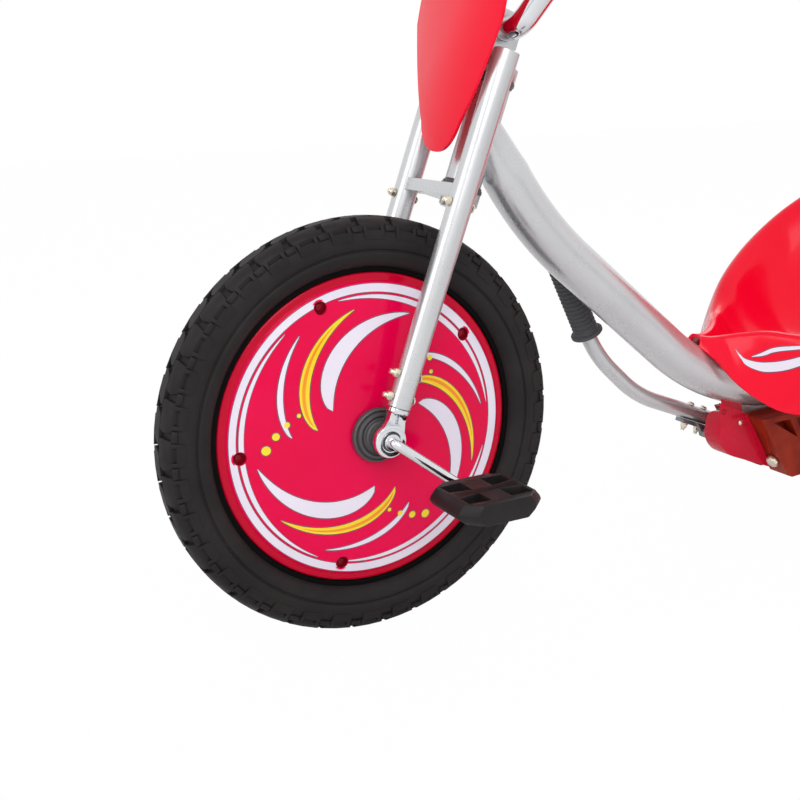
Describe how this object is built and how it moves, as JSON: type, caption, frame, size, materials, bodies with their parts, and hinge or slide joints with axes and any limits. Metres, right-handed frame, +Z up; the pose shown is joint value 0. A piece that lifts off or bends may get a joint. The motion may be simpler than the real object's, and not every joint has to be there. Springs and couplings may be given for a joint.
{
  "type": "drift trike",
  "caption": "Child's drift trike: pedalled front wheel with disc covers in a raked fork, bent main tube, bucket seat, spark lever and two inclined swivel casters.",
  "frame": {"origin": "on the floor under the middle of the bounding box", "axes": "+X forward, +Y to the rider's left, +Z up"},
  "size_m": [0.996, 0.649, 0.7122],
  "materials": {
    "satin_silver": "satin",
    "chrome": "polished",
    "zinc": "plated",
    "black_rubber": "matt",
    "grip_rubber": "matt",
    "black_plastic": "satin",
    "cover_red": "gloss",
    "seat_red": "gloss",
    "bracket_red": "gloss",
    "truck_red": "satin",
    "spark_grey": "worn"
  },
  "bodies": {
    "frame": {"main_tube": "satin_silver", "tube_plug": "black_plastic", "seat_shell": "seat_red", "seat_mount": "satin_silver", "seat_bolt_rear": "zinc", "seat_bolt_front": "zinc", "rear_bracket": "bracket_red", "rear_truck": "truck_red", "truck_bolt_left": "zinc", "truck_bolt_right": "zinc", "head_tube": "satin_silver", "headset_cup_lower": "black_plastic", "headset_cup_upper": "black_plastic"},
    "steering": {"lower_crown": "satin_silver", "upper_crown": "satin_silver", "steerer_tube": "satin_silver", "headset_locknut": "chrome", "handlebar": "chrome", "handlebar_brace": "chrome", "number_plate": "seat_red", "fork_leg_left": "satin_silver", "dropout_left": "chrome", "dropout_bush_left": "black_plastic", "dropout_bolt_left_lower": "zinc", "dropout_bolt_left_upper": "zinc", "crown_bolt_left": "zinc", "handlebar_clamp_left": "satin_silver", "clamp_bolt_left": "zinc", "grip_left": "grip_rubber", "fork_leg_right": "satin_silver", "dropout_right": "chrome", "dropout_bush_right": "black_plastic", "dropout_bolt_right_lower": "zinc", "dropout_bolt_right_upper": "zinc", "crown_bolt_right": "zinc", "handlebar_clamp_right": "satin_silver", "clamp_bolt_right": "zinc", "grip_right": "grip_rubber"},
    "front_wheel": {"front_tyre": "black_rubber", "front_rim": "black_plastic", "front_hub": "black_plastic", "crank": "chrome", "wheel_cover_left": "cover_red", "wheel_cover_right": "cover_red"},
    "spark_gear": {"spark_lever": "satin_silver", "lever_bolt_rear": "zinc", "lever_bolt_front": "zinc", "spark_arm": "spark_grey", "spark_pad": "spark_grey", "lever_grip": "grip_rubber"},
    "pedal_left": {"pedal_left": "black_plastic"},
    "caster_left": {"caster_yoke_left": "satin_silver", "caster_axle_left": "zinc"},
    "caster_wheel_left": {"caster_hub_left": "black_plastic", "caster_tyre_left": "black_rubber"},
    "pedal_right": {"pedal_right": "black_plastic"},
    "caster_right": {"caster_yoke_right": "satin_silver", "caster_axle_right": "zinc"},
    "caster_wheel_right": {"caster_hub_right": "black_plastic", "caster_tyre_right": "black_rubber"}
  },
  "joints": [
    {"name": "steering_turn", "type": "hinge", "parent": "frame", "child": "steering", "pos_m": [0.16041, 0, 0.47257], "axis": [-0.3616, 0, 0.9323], "range_deg": [-65, 65]},
    {"name": "front_wheel_spin", "type": "hinge", "parent": "steering", "child": "front_wheel", "pos_m": [0.295, 0, 0.203], "axis": [0, 1, 0], "continuous": true},
    {"name": "spark_lever_pull", "type": "hinge", "parent": "frame", "child": "spark_gear", "pos_m": [-0.169, 0, 0.11], "axis": [0, -1, 0], "range_deg": [0, 6.5], "stiffness_Nm_per_rad": 3, "springref_deg": -14.32},
    {"name": "pedal_left_spin", "type": "hinge", "parent": "front_wheel", "child": "pedal_left", "pos_m": [0.23599, 0.13, 0.15606], "axis": [0, 1, 0], "continuous": true},
    {"name": "caster_left_swivel", "type": "hinge", "parent": "frame", "child": "caster_left", "pos_m": [-0.39905, 0.115, 0.08836], "axis": [0.5299, 0, 0.848], "continuous": true},
    {"name": "caster_left_roll", "type": "hinge", "parent": "caster_left", "child": "caster_wheel_left", "pos_m": [-0.46, 0.115, 0.038], "axis": [0, 1, 0], "continuous": true},
    {"name": "pedal_right_spin", "type": "hinge", "parent": "front_wheel", "child": "pedal_right", "pos_m": [0.35401, -0.13, 0.24994], "axis": [0, 1, 0], "continuous": true},
    {"name": "caster_right_swivel", "type": "hinge", "parent": "frame", "child": "caster_right", "pos_m": [-0.39905, -0.115, 0.08836], "axis": [0.5299, 0, 0.848], "continuous": true},
    {"name": "caster_right_roll", "type": "hinge", "parent": "caster_right", "child": "caster_wheel_right", "pos_m": [-0.46, -0.115, 0.038], "axis": [0, 1, 0], "continuous": true}
  ]
}
